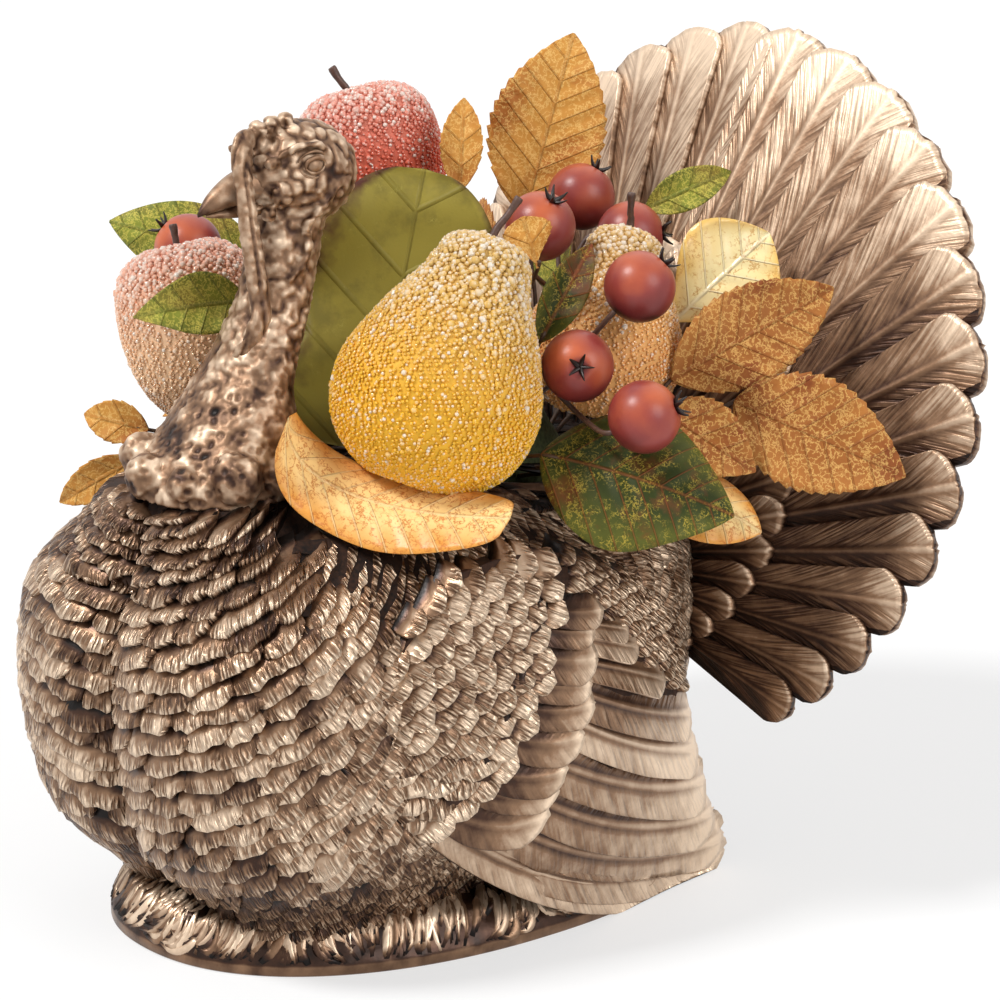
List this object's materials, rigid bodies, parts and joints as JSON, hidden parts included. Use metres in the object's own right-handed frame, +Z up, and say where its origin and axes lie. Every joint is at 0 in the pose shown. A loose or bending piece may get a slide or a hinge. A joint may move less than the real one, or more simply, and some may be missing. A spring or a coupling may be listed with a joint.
{
  "type": "thanksgiving turkey figure",
  "caption": "Bronze-finished resin turkey on an oval grass base, tail fanned, with a lift-out arrangement of sugared fruit, leaves and berries in its open back.",
  "frame": {"origin": "middle of the underside of the oval base", "axes": "+Z up, the turkey faces -Y with its tail towards +Y, and its left side is +X"},
  "size_m": [0.292, 0.3068, 0.2916],
  "materials": {
    "bronze_resin": "cast resin with a rubbed bronze finish, dark in the recesses",
    "steel_pin": "plain",
    "sugared_yellow": "clear bead coating",
    "sugared_orange": "clear bead coating",
    "sugared_red": "clear bead coating",
    "sugared_pink": "clear bead coating",
    "sugared_back": "clear bead coating",
    "stem": "matt",
    "pick": "plain",
    "berry": "satin, shaded to orange",
    "wire": "paper-wrapped",
    "foam": "matt, open cells",
    "leaf_green": "printed, veined",
    "leaf_gold": "printed with a metallic sheen",
    "leaf_rust": "printed, veined"
  },
  "bodies": {
    "figure": {"base": "bronze_resin", "body": "bronze_resin", "left_wing": "bronze_resin", "right_wing": "bronze_resin", "head_and_neck": "bronze_resin", "tail_fan": "bronze_resin", "neck_dowel": "steel_pin", "tail_dowel_left": "steel_pin", "tail_dowel_right": "steel_pin"},
    "arrangement": {"foam_block": "foam", "pear_yellow": "sugared_yellow", "pear_yellow_stem": "stem", "pear_yellow_pick": "pick", "pear_orange": "sugared_orange", "pear_orange_stem": "stem", "pear_orange_pick": "pick", "apple_red": "sugared_red", "apple_red_stem": "stem", "apple_red_pick": "pick", "apple_pink": "sugared_pink", "apple_pink_stem": "stem", "apple_pink_pick": "pick", "apple_back": "sugared_back", "apple_back_stem": "stem", "apple_back_pick": "pick", "berry_1": "berry", "berry_2": "berry", "berry_3": "berry", "berry_4": "berry", "berry_5": "berry", "berry_6": "berry", "berry_7": "berry", "berry_8": "berry", "berry_9": "berry", "berry_spray_1": "wire", "berry_spray_2": "wire", "berry_spray_3": "wire", "leaf_olive": "leaf_green", "leaf_tall": "leaf_rust", "leaf_slim": "leaf_rust", "leaf_left_high": "leaf_green", "leaf_left_low": "leaf_green", "leaf_left_rust": "leaf_rust", "leaf_left_droop": "leaf_rust", "leaf_cream": "leaf_gold", "leaf_big": "leaf_green", "leaf_blunt": "leaf_gold", "leaf_gold": "leaf_gold", "leaf_pale": "leaf_green", "leaf_rust_1": "leaf_rust", "leaf_rust_2": "leaf_rust", "leaf_rust_3": "leaf_rust", "leaf_dark": "leaf_green", "leaf_fan": "leaf_rust", "leaf_back_1": "leaf_green", "leaf_back_2": "leaf_rust", "leaf_back_3": "leaf_rust", "leaf_back_4": "leaf_green"}
  },
  "joints": [
    {"name": "arrangement_lift", "type": "slide", "parent": "figure", "child": "arrangement", "axis": [0, 0, 1], "range_m": [0, 0.14]}
  ]
}
